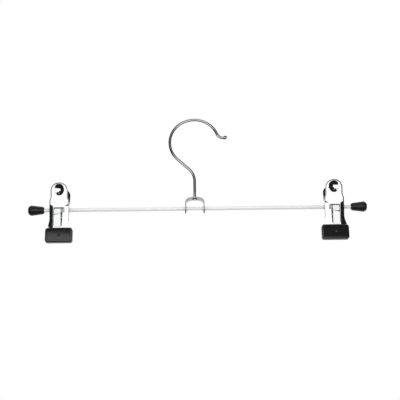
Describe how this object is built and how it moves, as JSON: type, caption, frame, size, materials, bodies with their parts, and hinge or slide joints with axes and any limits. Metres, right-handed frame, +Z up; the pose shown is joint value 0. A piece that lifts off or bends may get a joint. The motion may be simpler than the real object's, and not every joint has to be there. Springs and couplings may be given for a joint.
{
  "type": "clip trouser hanger",
  "caption": "Chrome wire hanger with a swivel hook, a round bar with black end caps and sliding sprung clips with soft black pads",
  "frame": {"origin": "rail seat: the inner top of the hook's ring, where the hanger hangs on a rail", "axes": "+X along the bar to the right, -Y the front seen in the picture, +Z up"},
  "size_m": [0.34, 0.024, 0.132],
  "materials": {
    "chrome_plate": "bright chrome plate over mild steel, polished",
    "spring_steel": "plated spring strip, a little duller than the stampings, with a faint grain along it",
    "black_plastic": "moulded black plastic, satin",
    "black_soft_vinyl": "soft black vinyl, satin, slightly scuffed"
  },
  "bodies": {
    "hook": {"hook": "chrome_plate"},
    "saddle": {"saddle_bracket": "chrome_plate"},
    "bar": {"bar": "chrome_plate", "left_end_cap": "black_plastic", "right_end_cap": "black_plastic"},
    "left_clip": {"left_clip_spring": "spring_steel"},
    "left_front_jaw": {"left_clip_front_jaw": "chrome_plate", "left_clip_front_pad": "black_soft_vinyl"},
    "left_rear_jaw": {"left_clip_rear_jaw": "chrome_plate", "left_clip_rear_pad": "black_soft_vinyl"},
    "right_clip": {"right_clip_spring": "spring_steel"},
    "right_front_jaw": {"right_clip_front_jaw": "chrome_plate", "right_clip_front_pad": "black_soft_vinyl"},
    "right_rear_jaw": {"right_clip_rear_jaw": "chrome_plate", "right_clip_rear_pad": "black_soft_vinyl"}
  },
  "joints": [
    {"name": "hook_swivel", "type": "hinge", "parent": "hook", "child": "saddle", "pos_m": [0, 0, -0.0857], "axis": [0, 0, 1], "continuous": true},
    {"name": "bar_turn", "type": "hinge", "parent": "saddle", "child": "bar", "pos_m": [0, 0, -0.0952], "axis": [1, 0, 0], "continuous": true},
    {"name": "left_clip_slide", "type": "slide", "parent": "bar", "child": "left_clip", "axis": [1, 0, 0], "range_m": [-0.0056, 0.11595]},
    {"name": "left_front_jaw_hinge", "type": "hinge", "parent": "left_clip", "child": "left_front_jaw", "pos_m": [-0.1358, 0, -0.0952], "axis": [-1, 0, 0], "range_deg": [0, 16], "stiffness_Nm_per_rad": 0.5, "springref_deg": -28.65, "deforming": ["left_clip_spring"]},
    {"name": "left_rear_jaw_hinge", "type": "hinge", "parent": "left_clip", "child": "left_rear_jaw", "pos_m": [-0.1358, 0, -0.0952], "axis": [1, 0, 0], "range_deg": [0, 16], "stiffness_Nm_per_rad": 0.5, "springref_deg": -28.65, "deforming": ["left_clip_spring"]},
    {"name": "right_clip_slide", "type": "slide", "parent": "bar", "child": "right_clip", "axis": [1, 0, 0], "range_m": [-0.11975, 0.007]},
    {"name": "right_front_jaw_hinge", "type": "hinge", "parent": "right_clip", "child": "right_front_jaw", "pos_m": [0.1396, 0, -0.0952], "axis": [-1, 0, 0], "range_deg": [0, 16], "stiffness_Nm_per_rad": 0.5, "springref_deg": -28.65, "deforming": ["right_clip_spring"]},
    {"name": "right_rear_jaw_hinge", "type": "hinge", "parent": "right_clip", "child": "right_rear_jaw", "pos_m": [0.1396, 0, -0.0952], "axis": [1, 0, 0], "range_deg": [0, 16], "stiffness_Nm_per_rad": 0.5, "springref_deg": -28.65, "deforming": ["right_clip_spring"]}
  ],
  "couplings": [
    {"joint": "left_rear_jaw_hinge", "follows": "left_front_jaw_hinge", "ratio": 1},
    {"joint": "right_rear_jaw_hinge", "follows": "right_front_jaw_hinge", "ratio": 1}
  ]
}
